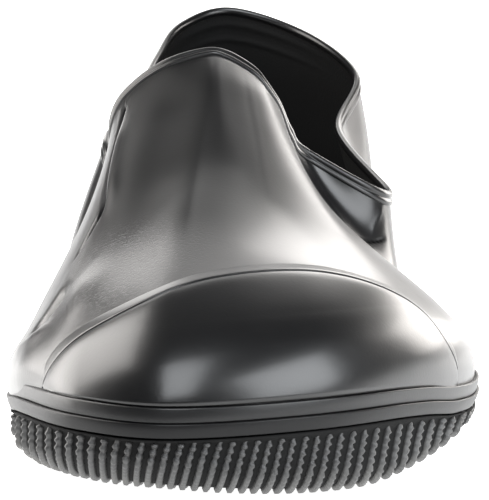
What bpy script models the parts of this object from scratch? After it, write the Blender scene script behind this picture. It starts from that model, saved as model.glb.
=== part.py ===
# Left rubber overshoe, standing empty on its sole. Toe towards -Y, wearer's outer side towards +X, +Z up.
import math

import bmesh
import bpy
import numpy as np

MM = 0.001

# Driving dimensions
LENGTH = 301 * MM
BALL_WIDTH = 108 * MM
FLAP_HEIGHT = 86.1 * MM
WALL = 1.8 * MM
SEAT_GAP = 0.3 * MM

# Strips and overlays
EDGE_LEDGE = 2.2 * MM
RAND_LOW = 0.2 * MM
RAND_HEIGHT = 2.9 * MM
RAND_THICKNESS = 1.7 * MM
FOXING_HEIGHT = 2.8 * MM
FOXING_THICKNESS = 1.0 * MM
CAP_THICKNESS = 0.6 * MM
CAP_GAP = 0.6 * MM
CAP_SEAT = 0.45 * MM
CAP_MIN_HEIGHT = 2.5 * MM
BINDING_HEIGHT = 4.0 * MM
BINDING_THICKNESS = 0.8 * MM

# Sole and heel
SOLE_EDGE_ROUND = 6.5 * MM
SOLE_EDGE_INSET = 11.0 * MM
REAR_EDGE_SHARE = 0.3
REAR_EDGE_FROM = -20 * MM
TOE_ROLL_SLANT = 0.32
TOE_ROLL_START = -60 * MM
RIB_PITCH = 2.5 * MM
RIB_DEPTH = 0.7 * MM
INSOLE_THICKNESS = 2.0 * MM
INSOLE_INSET = EDGE_LEDGE + WALL + 1.8 * MM
HEEL_BREAST = 58 * MM
HEEL_INSET = 2.8 * MM
HEEL_TAPER = 1.5 * MM
HEEL_COLUMNS = 48

# Mesh density
COLUMNS_PER_SECTION = 4
UPPER_RINGS = 19
RING_CLOSENESS = 0.35
CAP_RINGS = 9
CAP_RING_CLOSENESS = 1.35
CAP_EXTRA_COLUMNS = 1
CAP_OUTER_CLOSENESS = 1.25
BINDING_RINGS = 3
HALVINGS = 30
STEP = 1e-3

# Size of the last that the two tables below describe, in millimetres
TABLE_LENGTH = 301.0
TABLE_BALL_WIDTH = 108.0
TABLE_FLAP_HEIGHT = 86.1

# Sections up the wall, counted round the shoe from the toe tip by the outer side and the heel, in millimetres.
# edge: the outsole's top edge. rise, lean: how far the wall starts upwards and outwards.
# full: how strongly the wall keeps to that start, 1 for a plain curve and more for a bulbous one.
# bend: how strongly it keeps to its reach. reach: where it comes from, as seen from the collar point.
# rim: the collar point.
SECTION_COLUMNS = (
    "edge_x", "edge_y", "rise", "lean", "full", "bend",
    "reach_x", "reach_y", "reach_z", "rim_x", "rim_y", "rim_z",
)
SECTIONS = {
    "toe_tip": (-13, -151, 24, 3, 1.4, 1.7, 0, -87, -35.5, -10.2, -8, 86.1),
    "toe_outer": (20, -135, 27, 3, 1.5, 1.7, 7, -79, -34, -0.6, -8, 82.7),
    "toe_outer_corner": (42, -100, 27, 7, 1.5, 1.4, 12, -56, -30, 5, -6, 75),
    "ball_outer": (54, -55, 23, 11, 1.3, 1.1, 3, -24, -25, 8.7, -2, 66.1),
    "vamp_edge_outer": (51, -23, 12, 1, 1, 1, 5, -3, -23, 12.5, 2, 60.4),
    "gusset_fold_outer": (44, 10, 8, -3, 1, 1, 1, -1, -17, 33, 11, 48),
    "quarter_outer": (36.5, 62, 14, -1, 1, 1, 6, -1, -22, 19.5, 84, 55),
    "heel_outer": (28, 112, 18, 1, 1, 1, 5, 1, -24, 23.5, 122, 66),
    "heel_back_outer": (12, 141, 20, 1, 1, 1, 2, 5, -26, 7, 143, 75.5),
    "heel_back": (-11, 150, 21, 1, 1, 1, 0, 6, -27, -14, 148, 81),
    "heel_back_inner": (-33, 141, 20, 1, 1, 1, -3, 5, -26, -27, 139, 77.5),
    "heel_inner": (-46, 112, 18, 2, 1, 1, -8, 1, -24, -32.5, 119, 70.5),
    "quarter_inner": (-46, 64, 16, 4, 1, 1, -8, -1, -22, -36, 78, 62),
    "gusset_fold_inner": (-48, 6, 15, 8, 1, 1, -7, -2, -21, -38.7, 18, 60.1),
    "vamp_edge_inner": (-51, -30, 15, 3, 1, 1, -4, -8, -19, -35.5, 4, 54.6),
    "ball_inner": (-54, -68, 14, 8, 1, 1.1, -1, -28, -27, -35.2, -4, 68.9),
    "toe_inner_corner": (-46, -112, 19, 3, 1.2, 1.5, -4, -72, -32, -29.4, -7, 77.8),
    "toe_inner": (-33, -139, 21, 2.5, 1.4, 1.6, -2, -78, -36, -20, -8, 83.9),
}

# Side view of the sole, from toe to heel, in millimetres.
SOLE_COLUMNS = ("along", "top", "bottom")
SOLE_STATIONS = (
    (-151, 20.0, 9.0),
    (-138, 19.2, 5.6),
    (-115, 16.8, 1.9),
    (-98, 14.2, 0.0),
    (-78, 10.3, 0.0),
    (-55, 7.6, 0.0),
    (-20, 6.8, 0.0),
    (15, 8.5, 2.0),
    (58, 12.5, 6.0),
    (105, 17.0, 10.5),
    (150, 20.0, 13.5),
)

# The toe cap's back edge seen from above, from the inner to the outer side, in millimetres.
CAP_LINE_COLUMNS = ("across", "along")
CAP_LINE = (
    (-44, -117.5),
    (-34.2, -122),
    (-18, -122.5),
    (-4, -116),
    (10.5, -106.3),
    (23.5, -96.3),
    (39, -84.8),
    (47.6, -80),
    (52, -73),
)

RUBBER = {"black_rubber": ((0.018, 0.018, 0.02), 0.38), "sole_rubber": ((0.014, 0.014, 0.015), 0.6)}
LINING = {"lining": ((0.012, 0.012, 0.012), 0.9)}
FINISHES = {**RUBBER, **LINING}


def clear_scene():
    for obj in list(bpy.data.objects):
        bpy.data.objects.remove(obj)


def make_material(name):
    colour, roughness = FINISHES[name]
    material = bpy.data.materials.new(name)
    material.use_nodes = True
    shader = material.node_tree.nodes["Principled BSDF"]
    shader.inputs["Base Color"].default_value = (*colour, 1.0)
    shader.inputs["Roughness"].default_value = roughness
    shader.inputs["Metallic"].default_value = 0.0
    return material


# Last

def section_values():
    """The section table in metres, scaled from the table's last to the driving dimensions."""
    across = BALL_WIDTH / TABLE_BALL_WIDTH
    along = LENGTH / TABLE_LENGTH
    upward = FLAP_HEIGHT / TABLE_FLAP_HEIGHT
    scale = {"x": across, "y": along, "z": upward, "rise": upward, "lean": across, "full": 1.0, "bend": 1.0}
    factors = [scale[column.split("_")[-1]] for column in SECTION_COLUMNS]
    return np.array(list(SECTIONS.values()), float) * np.array(factors)


VALUES = section_values()
COUNT = len(VALUES)


def pick(row, *names):
    """The named columns of table rows."""
    return row[..., [SECTION_COLUMNS.index(name) for name in names]]


def section_knots():
    """Centripetal spacing of the sections, so that close sections turn tightly and don't overshoot."""
    steps = np.roll(VALUES, -1, axis=0) - VALUES
    spans = np.linalg.norm(pick(steps, "edge_x", "edge_y", "rim_x", "rim_y", "rim_z"), axis=1) ** 0.5
    return np.concatenate([[0.0], np.cumsum(spans)])


KNOTS = section_knots()


def round_shoe(place):
    """Table values at places counted in sections round the shoe, on a smooth closed curve through the rows."""
    place = np.asarray(place, float) % COUNT
    first = np.floor(place).astype(int) % COUNT
    share = (place - np.floor(place))[..., None]
    span = np.diff(KNOTS)
    slope = (np.roll(VALUES, -1, axis=0) - VALUES) / span[:, None]
    before = np.roll(slope, 1, axis=0)
    span_before = np.roll(span, 1)
    tangent = (slope * span_before[:, None] + before * span[:, None]) / (span + span_before)[:, None]
    second = (first + 1) % COUNT
    width = span[first][..., None]
    square, cube = share**2, share**3
    return (
        (2 * cube - 3 * square + 1) * VALUES[first]
        + (cube - 2 * square + share) * width * tangent[first]
        + (3 * square - 2 * cube) * VALUES[second]
        + (cube - square) * width * tangent[second]
    )


def roll_along(edge):
    """Distances along the shoe for the tread, whose toe rolls up sooner on the inner side."""
    ahead = np.clip((TOE_ROLL_START - edge[..., 1]) / -TOE_ROLL_START, 0, 1)
    return edge[..., 1] + TOE_ROLL_SLANT * ahead * edge[..., 0]


def sole_heights(along):
    """Top and bottom of the sole at distances along the shoe, on a smooth curve through the stations."""
    stations = dict(zip(SOLE_COLUMNS, np.array(SOLE_STATIONS, float).T * MM))
    known = stations["along"] * LENGTH / (TABLE_LENGTH * MM)
    along = np.clip(along, known[0], known[-1])
    first = np.clip(np.searchsorted(known, along) - 1, 0, len(known) - 2)
    width = known[first + 1] - known[first]
    share = (along - known[first]) / width
    heights = []
    for column in ("top", "bottom"):
        values = stations[column]
        chord = np.diff(values) / np.diff(known)
        slope = np.concatenate([[chord[0]], flat_at_turns(chord), [chord[-1]]])
        square, cube = share**2, share**3
        heights.append(
            (2 * cube - 3 * square + 1) * values[first]
            + (cube - 2 * square + share) * width * slope[first]
            + (3 * square - 2 * cube) * values[first + 1]
            + (cube - square) * width * slope[first + 1]
        )
    return heights


def flat_at_turns(chord):
    """Slopes between chords that keep level stretches level."""
    product = chord[:-1] * chord[1:]
    total = chord[:-1] + chord[1:]
    return np.where(product > 0, 2 * product / np.where(total == 0, 1, total), 0.0)


def outline(place, inset=0.0):
    """Points of the outsole's edge seen from above, moved inwards by inset."""
    here = pick(round_shoe(place), "edge_x", "edge_y")
    tangent = pick(round_shoe(place + STEP) - round_shoe(place - STEP), "edge_x", "edge_y")
    tangent /= np.linalg.norm(tangent, axis=-1, keepdims=True)
    outward = np.stack([tangent[..., 1], -tangent[..., 0]], axis=-1)
    return here - outward * np.asarray(inset)[..., None], outward


def wall(place, climb):
    """Points on the upper's outer face: climb runs from 0 at the sole to 1 at the collar."""
    row = round_shoe(place)
    foot_xy, outward = outline(place, EDGE_LEDGE)
    top, _ = sole_heights(foot_xy[..., 1])
    foot = np.concatenate([foot_xy, (top + SEAT_GAP)[..., None]], axis=-1)
    start = foot + np.concatenate([outward * pick(row, "lean"), pick(row, "rise")], axis=-1)
    rim = pick(row, "rim_x", "rim_y", "rim_z")
    reach = rim + pick(row, "reach_x", "reach_y", "reach_z")
    climb = np.asarray(climb, float)[..., None]
    back = 1 - climb
    pull = 3 * back**2 * climb * pick(row, "full")
    hold = 3 * back * climb**2 * pick(row, "bend")
    total = back**3 + pull + hold + climb**3
    return (back**3 * foot + pull * start + hold * reach + climb**3 * rim) / total


def skin(place, climb, offset=0.0):
    """Points at a distance outside the upper's outer face."""
    place, climb = np.broadcast_arrays(np.asarray(place, float), np.asarray(climb, float))
    around = wall(place + STEP, climb) - wall(place - STEP, climb)
    upwards = wall(place, np.minimum(climb + STEP, 1)) - wall(place, np.maximum(climb - STEP, 0))
    normal = np.cross(around, upwards)
    normal /= np.linalg.norm(normal, axis=-1, keepdims=True)
    return wall(place, climb) + normal * offset


def climb_at_height(place, height):
    """Where the wall is this high above its own foot."""
    low = np.zeros_like(place)
    high = np.full_like(place, 0.6)
    foot = wall(place, low)[..., 2]
    for _ in range(HALVINGS):
        middle = (low + high) / 2
        under = wall(place, middle)[..., 2] - foot < height
        low, high = np.where(under, middle, low), np.where(under, high, middle)
    return low


def climb_at_cap_line(place):
    """Where the wall crosses the toe cap's back edge."""
    line = dict(zip(CAP_LINE_COLUMNS, np.array(CAP_LINE, float).T * MM))
    across = line["across"] * BALL_WIDTH / (TABLE_BALL_WIDTH * MM)
    along = line["along"] * LENGTH / (TABLE_LENGTH * MM)
    low = np.zeros_like(place)
    high = np.ones_like(place)
    for _ in range(HALVINGS):
        middle = (low + high) / 2
        point = wall(place, middle)
        ahead = point[..., 1] < np.interp(point[..., 0], across, along)
        low, high = np.where(ahead, middle, low), np.where(ahead, high, middle)
    return low


def even_places(count, inset=0.0):
    """Places at equal distances along the outline."""
    fine = np.linspace(0, COUNT, 40 * COUNT + 1)
    points, _ = outline(fine, inset)
    run = np.concatenate([[0.0], np.cumsum(np.linalg.norm(np.diff(points, axis=0), axis=1))])
    return np.interp(np.arange(count) * run[-1] / count, run, fine), run[-1]


# Solids

def add_object(name, mesh_builder, material, collection):
    mesh = bpy.data.meshes.new(name)
    mesh_builder.to_mesh(mesh)
    mesh_builder.free()
    mesh.materials.append(material)
    mesh.shade_smooth()
    mesh.set_sharp_from_angle(angle=math.radians(40))
    obj = bpy.data.objects.new(name, mesh)
    collection.objects.link(obj)
    return obj


def join_rings(builder, rings, closed):
    """Quads between rings of points, and the rings' vertices."""
    rows = [[builder.verts.new(point) for point in ring] for ring in rings]
    count = len(rows[0])
    for lower, upper in zip(rows, rows[1:]):
        for i in range(count if closed else count - 1):
            j = (i + 1) % count
            builder.faces.new((lower[i], lower[j], upper[j], upper[i]))
    return rows


def close_ring(builder, ring, upwards):
    """A lid across a ring, in strips from its first point to the opposite one."""
    count = len(ring)
    for i in range(count // 2):
        corners = [ring[i], ring[i + 1], ring[-i - 1], ring[-i]]
        face = list(dict.fromkeys(corners))
        builder.faces.new(face if upwards else face[::-1])


def stacked_solid(name, rings, material, collection):
    """A solid through rings listed from bottom to top."""
    builder = bmesh.new()
    rows = join_rings(builder, rings, closed=True)
    close_ring(builder, rows[0], upwards=False)
    close_ring(builder, rows[-1], upwards=True)
    return add_object(name, builder, material, collection)


def hoop(name, rings, material, collection):
    """A solid round the shoe whose section is given by rings, listed from outside bottom by outside top."""
    builder = bmesh.new()
    rows = join_rings(builder, rings, closed=True)
    count = len(rows[0])
    for i in range(count):
        j = (i + 1) % count
        builder.faces.new((rows[-1][i], rows[-1][j], rows[0][j], rows[0][i]))
    return add_object(name, builder, material, collection)


def shell(name, rings, thickness, outwards, closed, material, collection):
    """An open sheet through rings, with its thickness from Solidify."""
    builder = bmesh.new()
    join_rings(builder, rings, closed)
    obj = add_object(name, builder, material, collection)
    solidify = obj.modifiers.new("thickness", "SOLIDIFY")
    solidify.thickness = thickness
    solidify.offset = 1.0 if outwards else -1.0
    solidify.use_rim = True
    return obj


def make_upper(material, collection):
    place = np.arange(COUNT * COLUMNS_PER_SECTION) / COLUMNS_PER_SECTION
    shares = np.linspace(0, 1, UPPER_RINGS)
    climbs = shares - RING_CLOSENESS * np.sin(2 * math.pi * shares) / (2 * math.pi)
    outer = [wall(place, climb) for climb in climbs]
    inner = [skin(place, climb, -WALL) for climb in climbs]
    _, outward = outline(place)
    inner[0] = outer[0] - np.column_stack([outward, np.zeros(len(place))]) * WALL
    return hoop("upper", outer + inner[::-1], material, collection)


def make_side_strip(name, low, height, thickness, material, collection):
    place = np.arange(COUNT * COLUMNS_PER_SECTION) / COLUMNS_PER_SECTION
    _, outward = outline(place)
    level = np.column_stack([outward, np.zeros(len(place))])
    rings = []
    for lift, offset in ((low, thickness), (low + height, thickness), (low + height, 0.0), (low, 0.0)):
        rings.append(wall(place, climb_at_height(place, lift)) + level * (SEAT_GAP + offset))
    return hoop(name, rings, material, collection)


def make_toe_cap(low, material, collection):
    fine = np.linspace(-COUNT / 3, COUNT / 3, 40 * COUNT)
    tall = wall(fine, climb_at_cap_line(fine))[:, 2] - wall(fine, np.zeros_like(fine))[:, 2]
    inside = fine[tall > low + CAP_MIN_HEIGHT]
    columns = int(round((inside[-1] - inside[0]) * COLUMNS_PER_SECTION)) + CAP_EXTRA_COLUMNS
    spread = 1 - np.linspace(1, 0, columns + 1) ** CAP_OUTER_CLOSENESS
    place = inside[0] + (inside[-1] - inside[0]) * spread
    bottom, top = climb_at_height(place, low), climb_at_cap_line(place)
    shares = np.linspace(0, 1, CAP_RINGS) ** CAP_RING_CLOSENESS
    rings = [skin(place, bottom + (top - bottom) * share, CAP_SEAT) for share in shares]
    return shell("toe_cap", rings, CAP_THICKNESS, True, False, material, collection)


def make_collar_binding(material, collection):
    place = np.arange(COUNT * COLUMNS_PER_SECTION) / COLUMNS_PER_SECTION
    row = round_shoe(place)
    reach = np.linalg.norm(pick(row, "reach_x", "reach_y", "reach_z") * pick(row, "bend"), axis=1)
    drop = BINDING_HEIGHT / (3 * reach)
    rings = [skin(place, 1 - drop * share, SEAT_GAP) for share in np.linspace(1, 0, BINDING_RINGS)]
    return shell("collar_binding", rings, BINDING_THICKNESS, True, True, material, collection)


def edge_share(place):
    """How much of the tread's edge rounding there is: all of it at the forefoot, little at the heel."""
    along = outline(place)[0][:, 1]
    back = np.clip((along - REAR_EDGE_FROM) / (HEEL_BREAST - REAR_EDGE_FROM), 0, 1)
    return 1 - (1 - REAR_EDGE_SHARE) * back


def make_outsole(material, collection):
    _, run = even_places(2)
    ribs = int(round(run / RIB_PITCH))
    place, _ = even_places(2 * ribs)
    groove = np.where(np.arange(2 * ribs) % 2 == 0, 0.0, RIB_DEPTH)
    share = edge_share(place)
    rings = []
    for inset, lift in ((SOLE_EDGE_INSET * share, 0.0), (groove, SOLE_EDGE_ROUND * share), (groove, None)):
        edge, _ = outline(place, inset)
        top, _ = sole_heights(edge[:, 1])
        _, bottom = sole_heights(roll_along(edge))
        height = top if lift is None else bottom + lift
        rings.append(np.column_stack([edge, height]))
    return stacked_solid("outsole", rings, material, collection)


def make_insole(material, collection):
    place = np.arange(COUNT * COLUMNS_PER_SECTION) / COLUMNS_PER_SECTION
    edge, _ = outline(place, np.full(place.shape, INSOLE_INSET))
    top, _ = sole_heights(edge[:, 1])
    rings = [np.column_stack([edge, top + lift]) for lift in (SEAT_GAP, SEAT_GAP + INSOLE_THICKNESS)]
    return stacked_solid("insole", rings, material, collection)


def make_heel(material, collection):
    fine = np.linspace(0, COUNT, 40 * COUNT)
    behind = fine[outline(fine, HEEL_INSET)[0][:, 1] > HEEL_BREAST]
    place = np.linspace(behind[0], behind[-1], HEEL_COLUMNS)
    seat_edge, _ = outline(place, np.full(place.shape, HEEL_INSET))
    _, bottom = sole_heights(seat_edge[:, 1])
    top = np.column_stack([seat_edge, bottom - SEAT_GAP])
    floor_edge, _ = outline(place, np.full(place.shape, HEEL_INSET + HEEL_TAPER))
    floor = np.column_stack([floor_edge, np.zeros(HEEL_COLUMNS)])
    middle = HEEL_COLUMNS // 2
    rings = [np.roll(ring, -middle, axis=0) for ring in (floor, top)]
    return stacked_solid("heel", rings, material, collection)


def main():
    clear_scene()
    collection = bpy.data.collections.new("overshoe")
    bpy.context.scene.collection.children.link(collection)
    finish = {name: make_material(name) for name in FINISHES}
    foxing_low = RAND_LOW + RAND_HEIGHT + SEAT_GAP
    cap_low = foxing_low + FOXING_HEIGHT + CAP_GAP
    make_outsole(finish["sole_rubber"], collection)
    make_heel(finish["sole_rubber"], collection)
    make_insole(finish["lining"], collection)
    make_upper(finish["black_rubber"], collection)
    make_side_strip("rand_strip", RAND_LOW, RAND_HEIGHT, RAND_THICKNESS, finish["black_rubber"], collection)
    make_side_strip("foxing_strip", foxing_low, FOXING_HEIGHT, FOXING_THICKNESS, finish["black_rubber"], collection)
    make_toe_cap(cap_low, finish["black_rubber"], collection)
    make_collar_binding(finish["black_rubber"], collection)


main()
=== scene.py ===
import math

import bpy
import numpy as np
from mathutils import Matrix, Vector


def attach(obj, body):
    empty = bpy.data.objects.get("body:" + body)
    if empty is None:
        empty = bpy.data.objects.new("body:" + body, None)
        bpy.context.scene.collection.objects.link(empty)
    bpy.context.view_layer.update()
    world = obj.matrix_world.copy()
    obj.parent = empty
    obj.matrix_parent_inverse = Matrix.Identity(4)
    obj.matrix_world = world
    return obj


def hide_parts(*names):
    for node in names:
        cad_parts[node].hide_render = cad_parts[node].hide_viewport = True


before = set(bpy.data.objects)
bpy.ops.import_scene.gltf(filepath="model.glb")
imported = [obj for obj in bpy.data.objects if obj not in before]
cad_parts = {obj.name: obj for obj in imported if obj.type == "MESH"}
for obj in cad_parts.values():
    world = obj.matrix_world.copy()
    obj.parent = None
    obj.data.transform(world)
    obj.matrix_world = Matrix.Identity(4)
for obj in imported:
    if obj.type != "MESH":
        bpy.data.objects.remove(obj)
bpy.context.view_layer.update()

mm = 0.001
print("frame loaded:", sorted(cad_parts))

# Camera: the photo's view, from the front and a little above
cameraSet = {"azimuth": 2.5, "elevation": 9.6, "distance": 0.791, "target": (0.0, -0.060, 0.045),
             "lens": 244.9}


def placeCamera(values):
    azimuth, elevation = math.radians(values["azimuth"]), math.radians(values["elevation"])
    flat = math.cos(elevation)
    view = Vector((math.sin(azimuth) * flat, -math.cos(azimuth) * flat, math.sin(elevation)))
    bpy.ops.object.camera_add(location=Vector(values["target"]) + view * values["distance"])
    camera = bpy.context.active_object
    camera.name = "photoCamera"
    camera.rotation_euler = view.to_track_quat("Z", "Y").to_euler()
    camera.data.sensor_fit = "VERTICAL"
    camera.data.sensor_height = 36.0
    camera.data.lens = values["lens"]
    camera.data.clip_start = 0.01
    camera.data.dof.use_dof = False
    bpy.context.scene.camera = camera


placeCamera(cameraSet)
print("camera placed")

# The last: sections up the wall, counted round the shoe from the toe tip by the outer side, in millimetres.
# edge is the sole's top edge, rise and lean say how the wall starts and full how strongly it keeps to that,
# reach says how it arrives at the rim and bend how strongly it keeps to that.
last = {
    "columns": ("edgeX", "edgeY", "rise", "lean", "full", "bend", "reachX", "reachY", "reachZ",
                "rimX", "rimY", "rimZ"),
    "sections": (
        (-13, -151, 24, 3, 1.4, 1.7, 0, -87, -35.5, -10.2, -8, 86.1),  # toe tip
        (20, -135, 27, 3, 1.5, 1.7, 7, -79, -34, -0.6, -8, 82.7),
        (42, -100, 27, 7, 1.5, 1.4, 12, -56, -30, 5, -6, 75),
        (54, -55, 23, 11, 1.3, 1.1, 3, -24, -25, 8.7, -2, 66.1),  # ball, outer side
        (51, -23, 12, 1, 1, 1, 5, -3, -23, 12.5, 2, 60.4),
        (44, 10, 8, -3, 1, 1, 1, -1, -17, 33, 11, 48),  # gusset fold, outer side
        (36.5, 62, 14, -1, 1, 1, 6, -1, -22, 19.5, 84, 55),
        (28, 112, 18, 1, 1, 1, 5, 1, -24, 23.5, 122, 66),
        (12, 141, 20, 1, 1, 1, 2, 5, -26, 7, 143, 75.5),
        (-11, 150, 21, 1, 1, 1, 0, 6, -27, -14, 148, 81),  # heel back
        (-33, 141, 20, 1, 1, 1, -3, 5, -26, -27, 139, 77.5),
        (-46, 112, 18, 2, 1, 1, -8, 1, -24, -32.5, 119, 70.5),
        (-46, 64, 16, 4, 1, 1, -8, -1, -22, -36, 78, 62),
        (-48, 6, 15, 8, 1, 1, -7, -2, -21, -38.7, 18, 60.1),  # gusset fold, inner side
        (-51, -30, 15, 3, 1, 1, -4, -8, -19, -35.5, 4, 54.6),
        (-54, -68, 14, 8, 1, 1.1, -1, -28, -27, -35.2, -4, 68.9),  # ball, inner side
        (-46, -112, 19, 3, 1.2, 1.5, -4, -72, -32, -29.4, -7, 77.8),
        (-33, -139, 21, 2.5, 1.4, 1.6, -2, -78, -36, -20, -8, 83.9),
    ),
    # side view of the sole, toe to heel: along, top, bottom
    "sole": (
        (-151, 20.0, 9.0),
        (-138, 19.2, 5.6),
        (-115, 16.8, 1.9),
        (-98, 14.2, 0.0),
        (-78, 10.3, 0.0),
        (-55, 7.6, 0.0),
        (-20, 6.8, 0.0),
        (15, 8.5, 2.0),
        (58, 12.5, 6.0),
        (105, 17.0, 10.5),
        (150, 20.0, 13.5),
    ),
    # back edge of the toe cap seen from above: across, along
    "capLine": ((-44, -117.5), (-34.2, -122), (-18, -122.5), (-4, -116), (10.5, -106.3), (23.5, -96.3),
                (39, -84.8), (47.6, -80), (52, -73)),
    "ledge": 2.2,  # the wall stands this far inside the sole's edge
    "seat": 0.3,
    "rollSlant": 0.32,  # the tread rolls up sooner on the inner side of the toe
    "rollStart": -60.0,
}
sections = np.array(last["sections"], float)
sectionCount = len(sections)
columnOf = {name: i for i, name in enumerate(last["columns"])}
nudge = 1e-3


def pick(rows, *names):
    return rows[..., [columnOf[name] for name in names]]


def spanLengths():
    steps = np.roll(sections, -1, axis=0) - sections
    return np.linalg.norm(pick(steps, "edgeX", "edgeY", "rimX", "rimY", "rimZ"), axis=1) ** 0.5


spans = spanLengths()


def roundShoe(place):
    # table values anywhere round the shoe, on a closed smooth curve through the sections
    place = np.asarray(place, float) % sectionCount
    first = np.floor(place).astype(int) % sectionCount
    share = (place - np.floor(place))[..., None]
    slope = (np.roll(sections, -1, axis=0) - sections) / spans[:, None]
    before, spanBefore = np.roll(slope, 1, axis=0), np.roll(spans, 1)
    tangent = (slope * spanBefore[:, None] + before * spans[:, None]) / (spans + spanBefore)[:, None]
    second = (first + 1) % sectionCount
    width = spans[first][..., None]
    square, cube = share**2, share**3
    return (
        (2 * cube - 3 * square + 1) * sections[first]
        + (cube - 2 * square + share) * width * tangent[first]
        + (3 * square - 2 * cube) * sections[second]
        + (cube - square) * width * tangent[second]
    )


def soleHeights(along):
    # top and bottom of the sole, level stretches kept level
    table = np.array(last["sole"], float).T
    known = table[0]
    along = np.clip(along, known[0], known[-1])
    first = np.clip(np.searchsorted(known, along) - 1, 0, len(known) - 2)
    width = known[first + 1] - known[first]
    share = (along - known[first]) / width
    square, cube = share**2, share**3
    heights = []
    for values in table[1:]:
        chord = np.diff(values) / np.diff(known)
        product, total = chord[:-1] * chord[1:], chord[:-1] + chord[1:]
        inside = np.where(product > 0, 2 * product / np.where(total == 0, 1, total), 0.0)
        slope = np.concatenate([[chord[0]], inside, [chord[-1]]])
        heights.append(
            (2 * cube - 3 * square + 1) * values[first]
            + (cube - 2 * square + share) * width * slope[first]
            + (3 * square - 2 * cube) * values[first + 1]
            + (cube - square) * width * slope[first + 1]
        )
    return heights


def rollAlong(edge):
    ahead = np.clip((last["rollStart"] - edge[..., 1]) / -last["rollStart"], 0, 1)
    return edge[..., 1] + last["rollSlant"] * ahead * edge[..., 0]


def soleBottom(edge):
    return soleHeights(rollAlong(edge))[1]


def outline(place, inset=0.0):
    place = np.asarray(place, float)
    here = pick(roundShoe(place), "edgeX", "edgeY")
    tangent = pick(roundShoe(place + nudge) - roundShoe(place - nudge), "edgeX", "edgeY")
    tangent /= np.linalg.norm(tangent, axis=-1, keepdims=True)
    outward = np.stack([tangent[..., 1], -tangent[..., 0]], axis=-1)
    return here - outward * np.asarray(inset)[..., None], outward


def wall(place, climb):
    # the upper's outer face: climb runs from 0 at the sole to 1 at the rim
    row = roundShoe(place)
    footXY, outward = outline(place, last["ledge"])
    top, _ = soleHeights(footXY[..., 1])
    foot = np.concatenate([footXY, (top + last["seat"])[..., None]], axis=-1)
    start = foot + np.concatenate([outward * pick(row, "lean"), pick(row, "rise")], axis=-1)
    rim = pick(row, "rimX", "rimY", "rimZ")
    reach = rim + pick(row, "reachX", "reachY", "reachZ")
    climb = np.asarray(climb, float)[..., None]
    back = 1 - climb
    pull = 3 * back**2 * climb * pick(row, "full")
    hold = 3 * back * climb**2 * pick(row, "bend")
    total = back**3 + pull + hold + climb**3
    return (back**3 * foot + pull * start + hold * reach + climb**3 * rim) / total


def wallNormal(place, climb):
    around = wall(place + nudge, climb) - wall(place - nudge, climb)
    upwards = wall(place, np.minimum(climb + nudge, 1)) - wall(place, np.maximum(climb - nudge, 0))
    normal = np.cross(around, upwards)
    return normal / np.linalg.norm(normal, axis=-1, keepdims=True)


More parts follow.
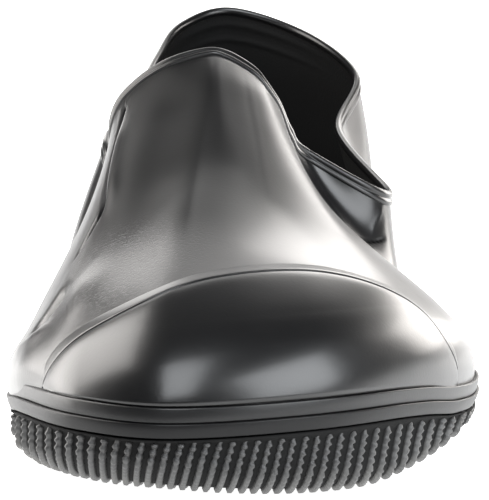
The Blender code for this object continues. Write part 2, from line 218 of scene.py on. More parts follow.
# Creases of the upper, given one by one: path in millimetres, lift outwards (minus is a trough), half width,
# crest 0 for a round fold and 1 for a sharp one, and the share of the path over which each end fades.
# A deep fold also gets a painted shade line, a near-black matte mixed into the skin for the shade in the
# fold, given by its half width.
creases = {
    "flapCrease": {
        "path": ((-9.6, -9, 85.3), (-9.3, -13.3, 83.9), (-8.6, -22.2, 80.3), (-7.5, -32.5, 76.2),
                 (-5.7, -49.4, 69.6), (-4.5, -60, 66)),
        "lift": 1.5, "width": 9.0, "crest": 1.0, "fade": (0.02, 0.7),
    },
    "flapTop": {
        "path": ((-9.6, -8.5, 85.6), (-4, -8.5, 84.2), (1, -8.2, 81.8), (4, -7, 77.5)),
        "lift": -0.9, "width": 8.0, "crest": 0.0, "fade": (0.05, 0.5),
    },
    "flapHollow": {
        "path": ((-16, -14, 80.5), (-14.5, -28, 76), (-13.5, -47, 69), (-13, -64, 62.3), (-13, -76, 58)),
        "lift": -1.7, "width": 12.0, "crest": 0.0, "fade": (0.3, 0.35),
    },
    "saddle": {
        "path": ((-34, -66, 51), (-24, -80, 54.5), (-10, -87, 57), (4, -82, 56.5), (15, -70, 53),
                 (24, -55, 48)),
        "lift": -2.0, "width": 26.0, "crest": 0.0, "fade": (0.25, 0.25),
    },
    "capRidge": {
        "path": ((-41, -119, 26), (-34.2, -122, 35.3), (-18, -122.5, 44.3), (-4, -116, 47.6),
                 (10.5, -106.3, 47.9), (23.5, -96.3, 45), (39, -84.8, 36.3), (47.6, -80, 25.8)),
        "lift": 1.3, "width": 11.0, "crest": 1.0, "fade": (0.5, 0.15),
    },
    "innerCrack": {
        "path": ((-31, -11, 74), (-31.6, -16.4, 71.6), (-32.8, -35, 63.3), (-33.3, -46.4, 59.2),
                 (-33.9, -60, 54.9), (-36, -65.3, 50.8), (-38.4, -69.5, 46.6), (-40, -72, 43.5)),
        "lift": -1.5, "width": 0.7, "crest": 0.0, "fade": (0.1, 0.15), "line": 0.5,
    },
    "innerCrackLip": {
        "path": ((-30, -17.5, 72.9), (-31.2, -36.2, 64.8), (-31.7, -47.8, 60.7), (-32.2, -61.6, 56.4),
                 (-34.2, -67, 52.3)),
        "lift": 0.8, "width": 1.9, "crest": 0.0, "fade": (0.3, 0.4),
    },
    "innerPocket": {
        "path": ((-41.5, -86, 40.5), (-42.8, -90, 38.2), (-44.8, -91.5, 34.6), (-47.5, -88, 30)),
        "lift": -2.2, "width": 2.8, "crest": 0.0, "fade": (0.3, 0.5), "line": 0.9,
    },
    "innerSoftFold": {
        "path": ((-33, -84, 47.6), (-33.6, -93, 45), (-35.3, -105.6, 40.2), (-37.6, -111.5, 35.6),
                 (-39, -114.1, 32.9)),
        "lift": 0.9, "width": 4.5, "crest": 0.0, "fade": (0.5, 0.5),
    },
    "innerPinch": {
        "path": ((-40.5, -105, 34.4), (-43.5, -99, 31.8), (-46.8, -91.5, 28), (-49.8, -82, 24.2)),
        "lift": 0.7, "width": 2.8, "crest": 0.0, "fade": (0.35, 0.4),
    },
    "innerBulge": {
        "path": ((-53, -57, 16), (-52.3, -73.5, 19), (-48.8, -91.5, 23), (-43.8, -108, 27), (-40, -119, 29)),
        "lift": 2.0, "width": 7.5, "crest": 0.0, "fade": (0.3, 0.35),
    },
    "gussetCrease": {
        "path": ((24.5, -3, 38.5), (27, -0.5, 37), (29, 2, 36.6), (31, 4, 36.5), (33.5, 7, 37)),
        "lift": -0.45, "width": 0.6, "crest": 0.0, "fade": (0.2, 0.3), "line": 0.4,
    },
    "gussetMark": {
        "path": ((32.4, 8.2, 45.5), (30.7, 6.1, 42.2), (28.8, 2.5, 38.5)),
        "lift": 0.25, "width": 1.0, "crest": 1.0, "fade": (0.3, 0.3),
    },
}


def smoothPath(path):
    # a smooth curve through a few points
    path = np.array(path, float)
    fine = np.linspace(0, len(path) - 1, 12 * len(path))
    first = np.clip(np.floor(fine).astype(int), 0, len(path) - 2)
    share = (fine - first)[:, None]
    padded = np.vstack([2 * path[0] - path[1], path, 2 * path[-1] - path[-2]])
    a, b, c, d = (padded[first + k] for k in range(4))
    slope, turn, twist = c - a, 2 * a - 5 * b + 4 * c - d, 3 * b - a - 3 * c + d
    return 0.5 * (2 * b + slope * share + turn * share**2 + twist * share**3)


def smoothStep(value):
    value = np.clip(value, 0, 1)
    return value * value * (3 - 2 * value)


# A path may run off the wall by through, in millimetres, and what is past that counts beyond times as much.
# A fold wider than broad takes fewer points of its path, and they are summed by the power blend, times gain.
creaseRule = {"through": 6.0, "beyond": 3.0, "broad": 20.0, "skip": 4, "blend": 6, "gain": 1.4,
              "crestFall": 1.6, "crestRound": 0.1}


def creaseShare(points, normals, crease):
    # how much of a crease's lift reaches each point, measured along the wall
    path, wide = smoothPath(crease["path"]), crease["width"] > creaseRule["broad"]
    blend = creaseRule["blend"]
    if wide:
        path = path[::creaseRule["skip"]]
    lengths = np.linalg.norm(np.diff(path, axis=0), axis=1)
    done = np.concatenate([[0.0], np.cumsum(lengths)])
    fadeIn, fadeOut = (max(value, 1e-6) for value in crease["fade"])
    total = np.zeros(points.shape[:-1])
    for start, end, length, before in zip(path, path[1:], lengths, done):
        way = (end - start) / length
        reached = np.clip((points - start) @ way, 0, length)
        apart = points - start - reached[..., None] * way
        off = np.sum(apart * normals, axis=-1)
        level = np.linalg.norm(apart - off[..., None] * normals, axis=-1)
        past = np.maximum(np.abs(off) - creaseRule["through"], 0) * creaseRule["beyond"]
        near = (level + past) / crease["width"]
        soft = np.exp(-(near**2))
        tip = creaseRule["crestRound"]
        sharp = np.exp(-creaseRule["crestFall"] * (np.sqrt(near**2 + tip**2) - tip))
        share = (before + reached) / done[-1]
        ends = smoothStep(share / fadeIn) * smoothStep((1 - share) / fadeOut)
        part = (soft + (sharp - soft) * crease["crest"]) * ends
        total = total + part**blend * length / crease["width"] if wide else np.maximum(total, part)
    return (creaseRule["gain"] * total) ** (1 / blend) if wide else total


def relief(points, normals):
    # how far the creases push the wall outwards
    return sum(crease["lift"] * creaseShare(points, normals, crease) for crease in creases.values())


def paintedFoldShade(points, normals):
    # where the deep creases get a painted shade line, standing in for the shade in the fold
    total = np.zeros(points.shape[:-1])
    for crease in creases.values():
        if "line" in crease:
            total = np.maximum(total, creaseShare(points, normals, {**crease, "width": crease["line"]}))
    return total


def skin(place, climb, offset=0.0):
    place, climb = np.broadcast_arrays(np.asarray(place, float), np.asarray(climb, float))
    points, normals = wall(place, climb), wallNormal(place, climb)
    return points + normals * (relief(points, normals) + offset)[..., None]


def climbWhere(place, test, limit):
    # the highest climb that still passes the test, by halving
    low, high = np.zeros_like(place), np.full_like(place, limit)
    for _ in range(30):
        middle = (low + high) / 2
        passed = test(wall(place, middle))
        low, high = np.where(passed, middle, low), np.where(passed, high, middle)
    return low


def climbAtHeight(place, height):
    foot = wall(place, np.zeros_like(place))[..., 2]
    return climbWhere(place, lambda point: point[..., 2] - foot < height, 0.6)


def capLineAlong(across):
    curve = smoothPath(last["capLine"])
    return np.interp(across, curve[:, 0], curve[:, 1])


def climbAtCapLine(place):
    return climbWhere(place, lambda point: point[..., 1] < capLineAlong(point[..., 0]), 1.0)


def evenPlaces(count):
    fine = np.linspace(0, sectionCount, 60 * sectionCount + 1)
    points, _ = outline(fine)
    run = np.concatenate([[0.0], np.cumsum(np.linalg.norm(np.diff(points, axis=0), axis=1))])
    return np.interp(np.arange(count + 1) * run[-1] / count, run, fine), run[-1]


# Finishes
class Signal:
    # a socket that can be used in sums
    def __init__(self, tree, socket):
        self.tree, self.socket = tree, socket

    @staticmethod
    def node(tree, kind, settings=None, sockets=None, out=0):
        made = tree.nodes.new(kind)
        for name, value in (settings or {}).items():
            if name == "stops":
                elements = made.color_ramp.elements
                elements.remove(elements[1])
                for i, (position, shade) in enumerate(value):
                    element = elements[0] if i == 0 else elements.new(position)
                    element.position = position
                    element.color = (shade, shade, shade, 1.0)
            else:
                setattr(made, name, value)
        for key, value in (sockets or {}).items():
            if isinstance(value, Signal):
                tree.links.new(value.socket, made.inputs[key])
            else:
                made.inputs[key].default_value = value
        return Signal(tree, made.outputs[out])

    def calc(self, operation, first, second):
        return Signal.node(self.tree, "ShaderNodeMath", {"operation": operation}, {0: first, 1: second})

    def __add__(self, other):
        return self.calc("ADD", self, other)

    def __radd__(self, other):
        return self.calc("ADD", other, self)

    def __sub__(self, other):
        return self.calc("SUBTRACT", self, other)

    def __rsub__(self, other):
        return self.calc("SUBTRACT", other, self)

    def __mul__(self, other):
        return self.calc("MULTIPLY", self, other)

    def __rmul__(self, other):
        return self.calc("MULTIPLY", other, self)


def newFinish(name):
    material = bpy.data.materials.new(name)
    material.use_nodes = True
    return material, material.node_tree, material.node_tree.nodes["Principled BSDF"]


def noise(tree, coords, scale, detail=2.0, roughness=0.5):
    return Signal.node(tree, "ShaderNodeTexNoise", None,
                       {"Vector": coords, "Scale": scale, "Detail": detail, "Roughness": roughness})


def ramp(tree, value, *stops):
    return Signal.node(tree, "ShaderNodeValToRGB", {"stops": stops}, {"Fac": value})


def stretched(tree, coords, scale):
    settings = {"vector_type": "POINT"}
    return Signal.node(tree, "ShaderNodeMapping", settings, {"Vector": coords, "Scale": scale})


def tint(tree, factor, first, second):
    return Signal.node(tree, "ShaderNodeMix", {"data_type": "RGBA"}, {0: factor, 6: first, 7: second}, out=2)


# Scales are repeats per metre. pitSpot is the middle of the pitted skin, in metres.
rubberSet = {"dark": (0.0045, 0.0045, 0.005, 1), "bloom": (0.010, 0.0099, 0.0098, 1), "rough": 0.25,
             "grain": 1500.0, "pits": 1300.0, "wave": 42.0, "cloud": 26.0, "scuff": (60.0, 420.0, 300.0),
             "pitSpot": (-0.030, -0.096, 0.045), "pitFade": 20.0, "bump": 0.35, "bumpDeep": 0.0004,
             "gloss": 0.5, "coat": 0.2, "coatRough": 0.2}


def rubberFinish(name, values, pitted):
    material, tree, shader = newFinish(name)
    coords = Signal.node(tree, "ShaderNodeTexCoord", None, None, out=3)
    cloud = noise(tree, coords, values["cloud"], 3.0)
    grain = noise(tree, coords, values["grain"], 2.0)
    wave = noise(tree, coords, values["wave"], 1.0)
    streaks = noise(tree, stretched(tree, coords, values["scuff"]), 1.0, 4.0, 0.6)
    scuff = ramp(tree, streaks, (0.58, 0.0), (0.74, 1.0))
    pit = ramp(tree, noise(tree, coords, values["pits"], 3.0, 0.6), (0.36, 0.0), (0.5, 1.0))
    if pitted:
        # the vamp's inner side has a coarser pitted skin
        offset = Signal.node(tree, "ShaderNodeVectorMath", {"operation": "DISTANCE"},
                             {0: coords, 1: values["pitSpot"]}, out=1)
        near = ramp(tree, offset * values["pitFade"], (0.2, 1.0), (0.6, 0.04))
    else:
        near = cloud * 0.2
    height = grain * 0.08 + wave + pit * near * 0.26
    bump = Signal.node(tree, "ShaderNodeBump", None,
                       {"Strength": values["bump"], "Distance": values["bumpDeep"], "Height": height})
    tree.links.new(bump.socket, shader.inputs["Normal"])
    colour = tint(tree, cloud * 0.7 + scuff * 0.3, values["dark"], values["bloom"])
    tree.links.new(colour.socket, shader.inputs["Base Color"])
    rough = values["rough"] + cloud * 0.08 + scuff * 0.03
    tree.links.new(rough.socket, shader.inputs["Roughness"])
    shader.inputs["Specular IOR Level"].default_value = values["gloss"]
    shader.inputs["Coat Weight"].default_value = values["coat"]
    shader.inputs["Coat Roughness"].default_value = values["coatRough"]
    # painted shade: a near-black matte shader mixed in along the deep creases by the shade attribute
    if pitted:
        line = Signal.node(tree, "ShaderNodeAttribute", {"attribute_name": "shade"}, None, out=2)
        dark = Signal.node(tree, "ShaderNodeBsdfDiffuse", None, {"Color": (0.002, 0.002, 0.002, 1)})
        skinShader = Signal(tree, shader.outputs[0])
        mixed = Signal.node(tree, "ShaderNodeMixShader", None, {0: line, 1: skinShader, 2: dark})
        tree.links.new(mixed.socket, tree.nodes["Material Output"].inputs["Surface"])
    return material


# How fast the dust tint thins out with height, per metre; low on the cords it is partly dust and partly a
# painted highlight.
soleSet = {"dark": (0.023, 0.023, 0.0235, 1), "dust": (0.15, 0.147, 0.139, 1), "rough": 0.42, "gloss": 0.8,
           "grain": 900.0, "cloud": 90.0, "dustAndHighlightFade": 60.0}


def soleFinish(name, values):
    material, tree, shader = newFinish(name)
    coords = Signal.node(tree, "ShaderNodeTexCoord", None, None, out=3)
    cloud = noise(tree, coords, values["cloud"], 4.0, 0.6)
    grain = noise(tree, coords, values["grain"], 3.0)
    bump = Signal.node(tree, "ShaderNodeBump", None, {"Strength": 0.4, "Distance": 0.0004, "Height": grain})
    dust = ramp(tree, cloud, (0.4, 0.25), (0.7, 1.0))
    # the lowest stretch, next to the floor, gets the most tint: partly dust, partly a painted highlight
    height = Signal.node(tree, "ShaderNodeSeparateXYZ", None, {"Vector": coords}, out=2)
    worn = ramp(tree, height * values["dustAndHighlightFade"], (0.36, 1.0), (0.75, 0.12))
    tree.links.new(bump.socket, shader.inputs["Normal"])
    colour = tint(tree, dust * worn * 0.8, values["dark"], values["dust"])
    tree.links.new(colour.socket, shader.inputs["Base Color"])
    rough = values["rough"] + cloud * 0.2
    tree.links.new(rough.socket, shader.inputs["Roughness"])
    shader.inputs["Specular IOR Level"].default_value = values["gloss"]
    return material


liningSet = {"dark": (0.002, 0.002, 0.002, 1), "worn": (0.005, 0.005, 0.005, 1), "rough": 0.72,
             "gloss": 0.22, "grain": 1400.0, "cloud": 60.0}


def liningFinish(name, values):
    # the inside, a plain matt skin
    material, tree, shader = newFinish(name)
    coords = Signal.node(tree, "ShaderNodeTexCoord", None, None, out=3)
    cloud = noise(tree, coords, values["cloud"], 3.0)
    grain = noise(tree, coords, values["grain"], 2.0)
    bump = Signal.node(tree, "ShaderNodeBump", None, {"Strength": 0.3, "Distance": 0.0003, "Height": grain})
    tree.links.new(bump.socket, shader.inputs["Normal"])
    tree.links.new(tint(tree, cloud, values["dark"], values["worn"]).socket, shader.inputs["Base Color"])
    rough = values["rough"] + cloud * 0.2
    tree.links.new(rough.socket, shader.inputs["Roughness"])
    shader.inputs["Specular IOR Level"].default_value = values["gloss"]
    return material


vampRubber = rubberFinish("vampRubber", rubberSet, True)
capRubber = rubberFinish("capRubber", {**rubberSet, "rough": 0.26}, False)
bandRubber = rubberFinish("bandRubber", {**rubberSet, "rough": 0.34, "gloss": 0.38, "coat": 0.1}, False)
randRubber = rubberFinish("randRubber", {**rubberSet, "rough": 0.36, "gloss": 0.2, "coat": 0.05}, False)
soleRubber = soleFinish("soleRubber", soleSet)
heelSkin = {"dark": (0.009, 0.009, 0.0095, 1), "dust": (0.025, 0.0245, 0.023, 1), "rough": 0.5, "gloss": 0.5}
heelRubber = soleFinish("heelRubber", {**soleSet, **heelSkin})
# The sole body, seen mostly in the grooves between the cords, is darker and duller than the cords: painted
# shade for the grooves.
grooveShadeSkin = {"dark": (0.008, 0.008, 0.008, 1), "dust": (0.014, 0.014, 0.014, 1), "rough": 0.75,
              "gloss": 0.15}
grooveShadeRubber = soleFinish("grooveShadeRubber", {**soleSet, **grooveShadeSkin})
lining = liningFinish("insideLining", liningSet)
print("finishes made")


# Mesh helpers
def bentGrid(name, points, materials, inside=None, shade=None):
    # a grid primitive whose vertices are moved to rows of points, in millimetres, with its seams merged
    rows, columns = points.shape[:2]
    bpy.ops.object.select_all(action="DESELECT")
    bpy.ops.mesh.primitive_grid_add(x_subdivisions=columns - 1, y_subdivisions=rows - 1, size=1.0)
    piece = bpy.context.active_object
    piece.name = piece.data.name = name
    piece.location = (0.0, 0.0, 0.0)
    piece.data.vertices.foreach_set("co", (points * mm).astype(np.float32).ravel())
    for material in materials:
        piece.data.materials.append(material)
    # shade holds the painted shade of the deep creases, read by the skin's finish
    if shade is not None:
        attribute = piece.data.attributes.new("shade", "FLOAT", "POINT")
        attribute.data.foreach_set("value", shade.astype(np.float32).ravel())
    if inside is not None:
        marks = np.repeat(np.asarray(inside, np.int32), columns - 1)
        piece.data.polygons.foreach_set("material_index", marks)
    bpy.ops.object.mode_set(mode="EDIT")
    bpy.ops.mesh.select_all(action="SELECT")
    bpy.ops.mesh.remove_doubles(threshold=1e-6)
    bpy.ops.mesh.dissolve_degenerate(threshold=1e-6)
    bpy.ops.object.mode_set(mode="OBJECT")
    bpy.ops.object.shade_smooth()
    return piece


def settle(piece, slot, *nodes):
    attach(piece, "root")
    if nodes:
        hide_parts(*nodes)
    print("made", piece.name, len(piece.data.polygons), "faces")


# Upper: one wall from foot to rim and down inside, with its creases
# Inside the heel two faint ridges follow the rim: climb, half height, stand-off.
# Columns stand closer where the folds are: first section, last section, columns to a section.
upperSet = {"wall": 1.5, "rimWall": 1.0, "outerRows": 84, "innerTop": 26, "innerRows": 22,
            "innerSplit": 0.82, "heelMiddle": 8.9, "heelReach": 1.1,
            "heelRidges": ((0.945, 0.012, 0.4), (0.885, 0.012, 0.4)),
            "stretches": ((0.0, 3.2, 26), (3.2, 5.8, 64), (5.8, 12.8, 16), (12.8, 15.2, 30),
                          (15.2, 16.3, 115), (16.3, 16.9, 60), (16.9, 18.0, 28))}


def upperPlaces():
    runs = []
    for start, end, density in upperSet["stretches"]:
        runs.append(np.linspace(start, end, int(round((end - start) * density)), endpoint=False))
    return np.append(np.concatenate(runs), sectionCount)


def makeUpper(values):
    place = upperPlaces()
    _, outward = outline(place)
    level = np.column_stack([outward, np.zeros(len(place))])
    climbs = np.linspace(0, 1, values["outerRows"])
    rows = [skin(place, np.full(place.shape, climb)) for climb in climbs]
    top, normal = rows[-1], wallNormal(place, np.ones_like(place))
    back = (top - rows[-2]) / np.linalg.norm(top - rows[-2], axis=1, keepdims=True)
    for turn in (0.25, 0.5, 0.75):
        angle = turn * math.pi
        half = values["rimWall"] / 2
        rows.append(top + back * half * math.sin(angle) * 0.8 - normal * half * (1 - math.cos(angle)))
    outerCount = len(rows)
    atHeel = smoothStep(1.4 - np.abs(place - values["heelMiddle"]) / values["heelReach"])
    split = values["innerSplit"]
    inner = [np.linspace(1, split, values["innerTop"]), np.linspace(split, 0, values["innerRows"])[1:-1]]
    for climb in np.concatenate(inner):
        thick = values["wall"] + (values["rimWall"] - values["wall"]) * smoothStep((climb - 0.8) / 0.2)
        for middle, half, stand in values["heelRidges"]:
            thick = thick + stand * atHeel * math.exp(-(((climb - middle) / half) ** 2))
        rows.append(skin(place, np.full(place.shape, climb), -thick))
    rows.append(rows[0] - level * values["wall"])
    rows.append(rows[0])
    marks = [0 if i < outerCount else 1 for i in range(len(rows) - 1)]
    # painted shade along the deep creases, on the outer rows only
    shade = np.zeros((len(rows), len(place)))
    for i, climb in enumerate(climbs):
        row = np.full(place.shape, climb)
        shade[i] = paintedFoldShade(wall(place, row), wallNormal(place, row))
    return bentGrid("upper_wall", np.array(rows), (vampRubber, lining), marks, shade)


settle(makeUpper(upperSet), "black_rubber", "upper")


# Bands round the foot: profile as height share, stand-off
bandSet = {
    "lower": {"low": 0.2, "height": 3.03, "stand": 1.9},
    "upper": {"low": 3.3, "height": 3.12, "stand": 1.15},
    "profile": ((0.0, -0.2), (0.0, 0.88), (0.025, 0.97), (0.09, 1.0), (0.5, 1.02), (0.91, 1.0),
                (0.975, 0.97), (1.0, 0.88), (1.0, -0.2)),
    "columns": 900,
}


def makeBand(name, values, shape, material):
    place, _ = evenPlaces(values["columns"])
    _, outward = outline(place)
    level = np.column_stack([outward, np.zeros(len(place))])
    rows = []
    for share, stand in values["profile"]:
        climb = climbAtHeight(place, shape["low"] + shape["height"] * share)
        rows.append(wall(place, climb) + level * (shape["stand"] * stand))
    rows.append(rows[0])
    return bentGrid(name, np.array(rows), (material,))


settle(makeBand("rand_band", bandSet, bandSet["lower"], randRubber), "black_rubber", "rand_strip")
settle(makeBand("foxing_band", bandSet, bandSet["upper"], bandRubber), "black_rubber", "foxing_strip")

# Toe cap: a raised skin over the toe, cut from the upper's own face
# Its back edge tucks under a thin lip. Lip as distance behind the line, stand-off.
capSet = {"low": 6.5, "least": 0.4, "stand": 0.65, "tuck": 0.12, "tuckOver": 2.4, "columns": 420, "rows": 84,
          "endStand": 0.45, "endFade": 0.16, "under": -0.6,
          "lip": ((0.06, 0.1), (0.14, 0.24), (0.3, 0.31), (0.8, 0.31), (1.6, 0.26), (3.0, 0.15), (4.5, 0.04),
                  (6.0, -0.15))}


def makeToeCap(values):
    fine = np.linspace(-sectionCount / 3, sectionCount / 3, 1600)
    tall = wall(fine, climbAtCapLine(fine))[:, 2] - wall(fine, np.zeros_like(fine))[:, 2]
    covered = fine[tall > values["low"] + values["least"]]
    place = np.linspace(covered[0], covered[-1], values["columns"])
    bottom, top = climbAtHeight(place, values["low"]), climbAtCapLine(place)
    low, high = wall(place, top - nudge), wall(place, top + nudge)
    speed = np.linalg.norm(high - low, axis=1) / (2 * nudge)
    span = np.linspace(0, 1, values["columns"])
    towardsEnd = smoothStep(np.minimum(span, 1 - span) / values["endFade"])
    ends = values["endStand"] + (1 - values["endStand"]) * towardsEnd
    rows = [skin(place, bottom, -0.35), skin(place, bottom, values["stand"] * 0.6)]
    for share in 0.004 + 0.996 * np.linspace(0, 1, values["rows"]) ** 0.8:
        ahead = (top - bottom) * (1 - share) * speed
        sunk = (values["stand"] - values["tuck"]) * np.exp(-ahead / values["tuckOver"])
        rows.append(skin(place, bottom + (top - bottom) * share, (values["stand"] - sunk) * ends))
    for behind, stand in values["lip"]:
        rows.append(skin(place, top + behind / speed, stand * ends if stand > 0 else stand))
    rows.append(skin(place, top, values["under"]))
    rows.append(skin(place, bottom, values["under"]))
    rows.append(rows[0])
    # both ends are drawn together to a point, so that the skin is closed
    points = np.array(rows)
    first, final = (np.broadcast_to(points[:, k].mean(axis=0), points[:, k].shape) for k in (0, -1))
    points = np.concatenate([first[:, None], points, final[:, None]], axis=1)
    return bentGrid("toe_cap_skin", points, (capRubber,))


settle(makeToeCap(capSet), "black_rubber", "toe_cap")

# Collar binding: a bead over the rim with a second line below it. Profile as drop from the rim, stand-off
bindingSet = {"profile": ((1.6, -1.25), (0.5, -1.3), (-0.25, -1.0), (-0.55, -0.45), (-0.4, 0.2), (0.1, 0.6),
                          (0.7, 0.72), (1.2, 0.58), (1.5, 0.3), (1.75, 0.28), (2.0, 0.45), (2.5, 0.55),
                          (3.0, 0.5), (3.35, 0.3), (3.5, -0.2), (2.0, -0.5))}


def makeBinding(values):
    place = upperPlaces()
    row = roundShoe(place)
    inward = pick(row, "reachX", "reachY", "reachZ") * pick(row, "bend") * 3
    reach = np.linalg.norm(inward, axis=1)
    rim, normal = skin(place, np.ones_like(place)), wallNormal(place, np.ones_like(place))
    upwards = -inward / reach[:, None]
    rows = []
    for drop, stand in values["profile"]:
        if drop > 0:
            rows.append(skin(place, 1 - drop / reach, stand))
        else:
            rows.append(rim - upwards * drop + normal * stand)
    rows.append(rows[0])
    return bentGrid("collar_bead", np.array(rows[::-1]), (vampRubber,))


settle(makeBinding(bindingSet), "black_rubber", "collar_binding")

# Outsole: body with a rolled edge and ribbed sides
soleShape = {"round": 6.5, "inset": 11.0, "rearShare": 0.3, "rearFrom": -20.0, "breast": 58.0, "rib": 2.5,
             "groove": 0.6, "ribsFrom": -78.0, "ribsFade": 22.0, "turnAt": 0.4, "sink": 1.3,
             "sinkUnder": 0.95, "columns": 1120, "spineX": -8.0, "spineFrom": -98.0, "spineTo": 108.0}


def edgeShare(along):
    back = np.clip((along - soleShape["rearFrom"]) / (soleShape["breast"] - soleShape["rearFrom"]), 0, 1)
    return 1 - (1 - soleShape["rearShare"]) * back


def soleFace(place, down, sink=0.0):
    # the sole's side and rolled edge: down runs from 0 at the top edge to 1 where the underside starts
    place, down = np.broadcast_arrays(np.asarray(place, float), np.asarray(down, float))
    edge, outward = outline(place)
    share = edgeShare(edge[..., 1])
    turnAt = soleShape["turnAt"]
    side, roll = np.clip(down / turnAt, 0, 1), np.clip((down - turnAt) / (1 - turnAt), 0, 1)
    bulge = roll * (1 - roll) * 1.6
    inset = soleShape["inset"] * share * (roll - 0.35 * bulge) + sink
    point = edge - outward * inset[..., None]
    top = soleHeights(edge[..., 1])[0]
    low = soleBottom(point) + soleShape["round"] * share
    lift = soleShape["round"] * share * (1 - roll) - 0.35 * soleShape["round"] * share * bulge
    height = np.where(down < turnAt, top + (low - top) * side, soleBottom(point) + lift)
    height = height + sink * soleShape["sinkUnder"] * roll
    return np.concatenate([point, height[..., None]], axis=-1), outward


def spinePoint(edge):
    along = np.clip(edge[..., 1], soleShape["spineFrom"], soleShape["spineTo"])
    return np.stack([np.full(along.shape, soleShape["spineX"]), along], axis=-1)


def makeOutsole(values):
    place, run = evenPlaces(values["columns"])
    ribs = round(run / values["rib"])
    wave = 0.5 - 0.5 * np.cos(2 * math.pi * ribs * np.arange(len(place)) / values["columns"])
    edge, outward = outline(place)
    behindToe = smoothStep((edge[:, 1] - values["ribsFrom"]) / values["ribsFade"])
    rows = []
    spine = spinePoint(edge)
    top = soleHeights(edge[:, 1])[0]
    for share in (0.0, 0.5, 1.0):
        flat = spine + (edge - outward * 0.5 - spine) * share
        rows.append(np.column_stack([flat, soleHeights(flat[:, 1])[0] if share < 1 else top]))
    for down in np.concatenate([[0.01, 0.04], np.linspace(0.08, 1, 22)]):
        cut = values["groove"] * wave * behindToe * (1 if down > 0.04 else 0)
        points, out = soleFace(place, down, values["sink"] * (1 - behindToe) * min(1, down / 0.08))
        level = np.column_stack([out, np.zeros(len(place))])
        rows.append(points - level * (cut * max(0.0, 1 - down * 0.6))[:, None])
    underEdge = rows[-1][:, :2]
    for share in np.linspace(0, 1, 9)[1:]:
        flat = underEdge + (spine - underEdge) * share
        lift = values["sink"] * np.minimum(1, share * 6)
        rows.append(np.column_stack([flat, soleBottom(flat) + lift]))
    # the body takes the painted groove shade finish
    return bentGrid("outsole_body", np.array(rows[::-1]), (grooveShadeRubber,))


settle(makeOutsole(soleShape), "sole_rubber", "outsole")

# Tread: cords that come down over the toe's edge and run back under the sole
# Cords have knobs. High on the face, near the middle of the toe, the knobs are deepest and the cords lowest.
# Profile as share of the half width, share of the height (minus is millimetres below the face)
treadSet = {"pitch": 2.45, "reach": 51.5, "half": 0.86, "tall": 1.6, "knob": 1.7, "drop": 12.0,
            "slantIn": 0.05, "slantOut": 0.36, "slantFrom": -45.0, "slantOver": 50.0,
            "knobLeast": 0.3, "knobMore": 0.6, "middle": 2.0, "middleHalf": 26.0,
            "highFrom": 0.25, "highOver": 0.35, "tallUnder": 1.32, "tallMore": 0.23, "endFade": 0.25,
            "backTo": 50.0, "faceSteps": 44, "underStep": 4.0, "frontPlaces": (15, 21),
            "profile": ((-1.0, -0.5), (-0.86, 0.3), (-0.45, 0.85), (0.45, 0.85), (0.86, 0.3), (1.0, -0.5),
                        (-1.0, -0.5))}


def faceNormals(place, down, outward):
    # which way the sole's face looks at each step of a cord
    step, sink = 0.01, soleShape["sink"]
    nearby, _ = soleFace(place, np.minimum(down + step, 1.0), sink)
    earlier, _ = soleFace(place, np.maximum(down - step, 0.0), sink)
    beside, _ = soleFace(place + step, down, sink)
    before, _ = soleFace(place - step, down, sink)
    normal = np.cross(earlier - nearby, before - beside)
    normal /= np.linalg.norm(normal, axis=1, keepdims=True)
    facing = np.sum(normal[:, :2] * outward, axis=1) - normal[:, 2] * 0.3
    return normal * np.sign(facing)[:, None]


def cordUnder(end, values):
    # a cord's stretch under the sole, straight back for as long as the sole covers it
    ring = outline(np.linspace(0, sectionCount, 720), soleShape["inset"] * 0.9)[0]
    fromSpine = end[0] - soleShape["spineX"]
    within = np.any((ring[:, 0] - end[0]) * np.sign(fromSpine + 1e-6) > 0.5)
    spots = []
    for along in np.arange(end[1] + values["underStep"], values["backTo"], values["underStep"]):
        edges = ring[np.abs(ring[:, 1] - along) < 3][:, 0]
        if within and np.abs(edges - soleShape["spineX"]).min() > abs(fromSpine):
            spots.append((end[0], along))
    under = np.array(spots, float).reshape(-1, 2)
    return np.column_stack([under, soleBottom(under) + soleShape["sink"] * soleShape["sinkUnder"]])


def cordRows(path, normal, tall, half, profile):
    way = np.gradient(path, axis=0)
    way /= np.linalg.norm(way, axis=1, keepdims=True)
    side = np.cross(way, normal)
    side /= np.linalg.norm(side, axis=1, keepdims=True)
    rows = []
    for across, up in profile:
        rise = np.where(up > 0, up * tall, up)
        rows.append(path + side * (across * half)[:, None] + normal * rise[:, None])
    return np.array(rows).transpose(1, 0, 2)


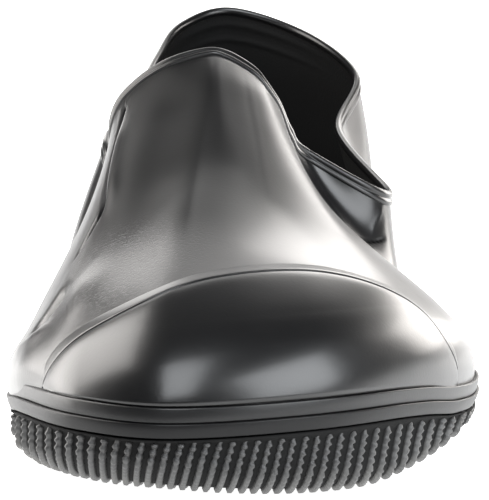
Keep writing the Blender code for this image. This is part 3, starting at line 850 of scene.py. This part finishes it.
def makeTread(values):
    front = np.linspace(*values["frontPlaces"], 900)
    down = np.linspace(0.03, 1.0, values["faceSteps"])
    # how far across each place of the face is, at every step down
    spread = [soleFace(front, step, soleShape["sink"])[0][:, 0] for step in down]
    cords = []
    count = int(2 * values["reach"] / values["pitch"])
    for i in range(count + 1):
        across = -values["reach"] + i * values["pitch"]
        outerShare = smoothStep((across - values["slantFrom"]) / values["slantOver"])
        slant = values["slantIn"] + (values["slantOut"] - values["slantIn"]) * outerShare
        spots = across + slant * values["drop"] * (1 - down)
        place = np.array([np.interp(spot, row, front) for spot, row in zip(spots, spread)])
        face, outward = soleFace(place, down, soleShape["sink"])
        under = cordUnder(face[-1], values)
        path = np.vstack([face, under])
        downwards = np.tile((0.0, 0.0, -1.0), (len(under), 1))
        normals = np.vstack([faceNormals(place, down, outward), downwards])
        run = np.concatenate([[0.0], np.cumsum(np.linalg.norm(np.diff(path, axis=0), axis=1))])
        middle = math.exp(-(((across - values["middle"]) / values["middleHalf"]) ** 2))
        onFace = 1 - smoothStep((down - values["highFrom"]) / values["highOver"])
        high = np.concatenate([onFace, np.zeros(len(under))])
        depth = values["knobLeast"] + values["knobMore"] * middle * high
        beat = 0.5 + 0.5 * np.cos(2 * math.pi * run / values["knob"] + math.pi * (i % 2))
        ends = np.minimum(1, np.minimum(run, run[-1] - run) + values["endFade"])
        tall = values["tall"] * (1 - depth * beat) * (1 - 0.3 * middle * high) * ends
        tall = np.minimum(tall, values["tallUnder"] + values["tallMore"] * high)
        half = values["half"] * (1 - 0.5 * depth * beat) * (0.5 + 0.5 * ends)
        cords.append(bentGrid("cord", cordRows(path, normals, tall, half, values["profile"]), (soleRubber,)))
    bpy.ops.object.select_all(action="DESELECT")
    for cord in cords:
        cord.select_set(True)
    bpy.context.view_layer.objects.active = cords[0]
    bpy.ops.object.join()
    tread = bpy.context.active_object
    tread.name = tread.data.name = "outsole_tread"
    bpy.ops.object.mode_set(mode="EDIT")
    bpy.ops.mesh.select_all(action="DESELECT")
    bpy.ops.mesh.select_non_manifold()
    bpy.ops.mesh.edge_face_add()
    bpy.ops.mesh.select_all(action="SELECT")
    bpy.ops.mesh.normals_make_consistent(inside=False)
    bpy.ops.object.mode_set(mode="OBJECT")
    return tread


settle(makeTread(treadSet), "sole_rubber")

# Heel: a low block with a bevelled foot. Profile as share of the outline, drop from the sole to the floor
heelSet = {"inset": 2.8, "gap": 0.3, "columns": 300, "breastPoints": 140, "middleY": 100.0,
           "profile": ((0.0, 0.0), (0.97, 0.0), (1.0, 0.06), (0.995, 0.3), (0.985, 0.6), (0.97, 0.9),
                       (0.955, 0.97), (0.93, 1.0), (0.0, 1.0))}


def makeHeel(values):
    fine = np.linspace(0, sectionCount, 1400)
    behind = fine[outline(fine, values["inset"])[0][:, 1] > soleShape["breast"]]
    ring, _ = outline(behind, values["inset"])
    breast = np.linspace(ring[-1], ring[0], values["breastPoints"])[1:]
    loop = np.vstack([ring, breast])
    run = np.concatenate([[0.0], np.cumsum(np.linalg.norm(np.diff(loop, axis=0), axis=1))])
    spots = np.linspace(0, run[-1], values["columns"])
    loop = np.column_stack([np.interp(spots, run, loop[:, k]) for k in (0, 1)])
    middle = np.array([soleShape["spineX"], values["middleY"]])
    rows = []
    for share, drop in values["profile"]:
        flat = middle + (loop - middle) * share
        top = soleBottom(flat) - values["gap"]
        rows.append(np.column_stack([flat, top * (1 - drop)]))
    return bentGrid("heel_block", np.array(rows[::-1]), (heelRubber,))


settle(makeHeel(heelSet), "sole_rubber", "heel")

# Insole: a thin pad with a soft edge. Edge as distance further in, share of the thickness
insoleSet = {"inset": 5.8, "thick": 2.0, "columns": 520, "rings": 10,
             "edge": ((0.0, 0.0), (0.0, 0.6), (0.2, 0.85), (0.7, 1.0))}


def overSole(flat, lift):
    # points that lie a given height over the sole's top
    return np.column_stack([flat, soleHeights(flat[:, 1])[0] + last["seat"] + lift])


def makeInsole(values):
    place, _ = evenPlaces(values["columns"])
    rows = []
    for inset, lift in values["edge"]:
        flat, _ = outline(place, values["inset"] + inset)
        rows.append(overSole(flat, values["thick"] * lift))
    foot, inner = rows[0][:, :2], rows[-1][:, :2]
    spine = spinePoint(foot)
    for share in np.linspace(0, 1, values["rings"])[1:]:
        rows.append(overSole(inner + (spine - inner) * share, values["thick"]))
    for share in np.linspace(1, 0, values["rings"]):
        rows.append(overSole(foot + (spine - foot) * share, 0.0))
    return bentGrid("insole_pad", np.array(rows), (lining,))


settle(makeInsole(insoleSet), "lining", "insole")

# Stage: a pale floor that glows, soft boxes at the sides, behind and in front, and dark air above them.
# Boxes as turn from the front and height in degrees, distance, width and height in metres, brightness,
# and how much they lean to blue, or with a minus to yellow.
stageSet = {
    "floor": (0.86, 0.86, 0.85, 1),
    "floorSize": 9.0,
    "floorDrop": 0.0002,
    "glow": 1.0,
    "boxes": {
        "leftBox": (-113.5, 24, 0.31, 0.215, 0.33, 5.8, -0.06),
        "leftBack": (-162, 16, 1.2, 0.22, 0.62, 3.2, -0.04),
        "back": (178, 31, 1.3, 0.62, 0.82, 1.25, -0.03),
        "rightBack": (166, 20, 1.2, 0.3, 0.6, 4.2, -0.06),
        "rightLow": (141, 9.5, 0.364, 0.17, 0.13, 8.0, -0.08),
        "rightFar": (158, 3, 1.2, 0.2, 0.12, 4.5, -0.06),
        "frontLeft": (5, 57, 1.2, 0.7, 1.0, 6.0, 0.06),
        "frontRight": (67, 23, 0.322, 0.22, 0.2, 7.0, 0.06),
    },
    "aim": (0.0, -0.08, 0.04),
    "air": (0.025, 0.025, 0.0265, 1),
}


def makeStage(values):
    bpy.ops.object.select_all(action="DESELECT")
    bpy.ops.mesh.primitive_plane_add(size=values["floorSize"], location=(0.0, 0.0, -values["floorDrop"]))
    floor = bpy.context.active_object
    floor.name = "paleFloor"
    material, _, shader = newFinish("paleFloor")
    shader.inputs["Base Color"].default_value = values["floor"]
    shader.inputs["Roughness"].default_value = 0.9
    shader.inputs["Emission Color"].default_value = (1.0, 1.0, 1.0, 1.0)
    shader.inputs["Emission Strength"].default_value = values["glow"]
    floor.data.materials.append(material)
    for name, (turn, height, distance, wide, tall, bright, blue) in values["boxes"].items():
        turn, height = math.radians(turn), math.radians(height)
        flat = math.cos(height)
        way = Vector((math.sin(turn) * flat, -math.cos(turn) * flat, math.sin(height)))
        bpy.ops.object.light_add(type="AREA", location=Vector(values["aim"]) + way * distance)
        lamp = bpy.context.active_object
        lamp.name = name
        lamp.data.shape = "RECTANGLE"
        lamp.data.size, lamp.data.size_y = wide, tall
        lamp.data.energy = bright * math.pi * wide * tall
        lamp.data.color = (1 - max(blue, 0), 1 - abs(blue) * 0.5, 1 + min(blue, 0))
        lamp.rotation_euler = way.to_track_quat("Z", "Y").to_euler()
        lamp.visible_camera = False
    world = bpy.data.worlds.new("studioAir")
    world.use_nodes = True
    world.node_tree.nodes["Background"].inputs["Color"].default_value = values["air"]
    bpy.context.scene.world = world
    bpy.context.scene.view_settings.view_transform = "Standard"


makeStage(stageSet)
print("stage lit")
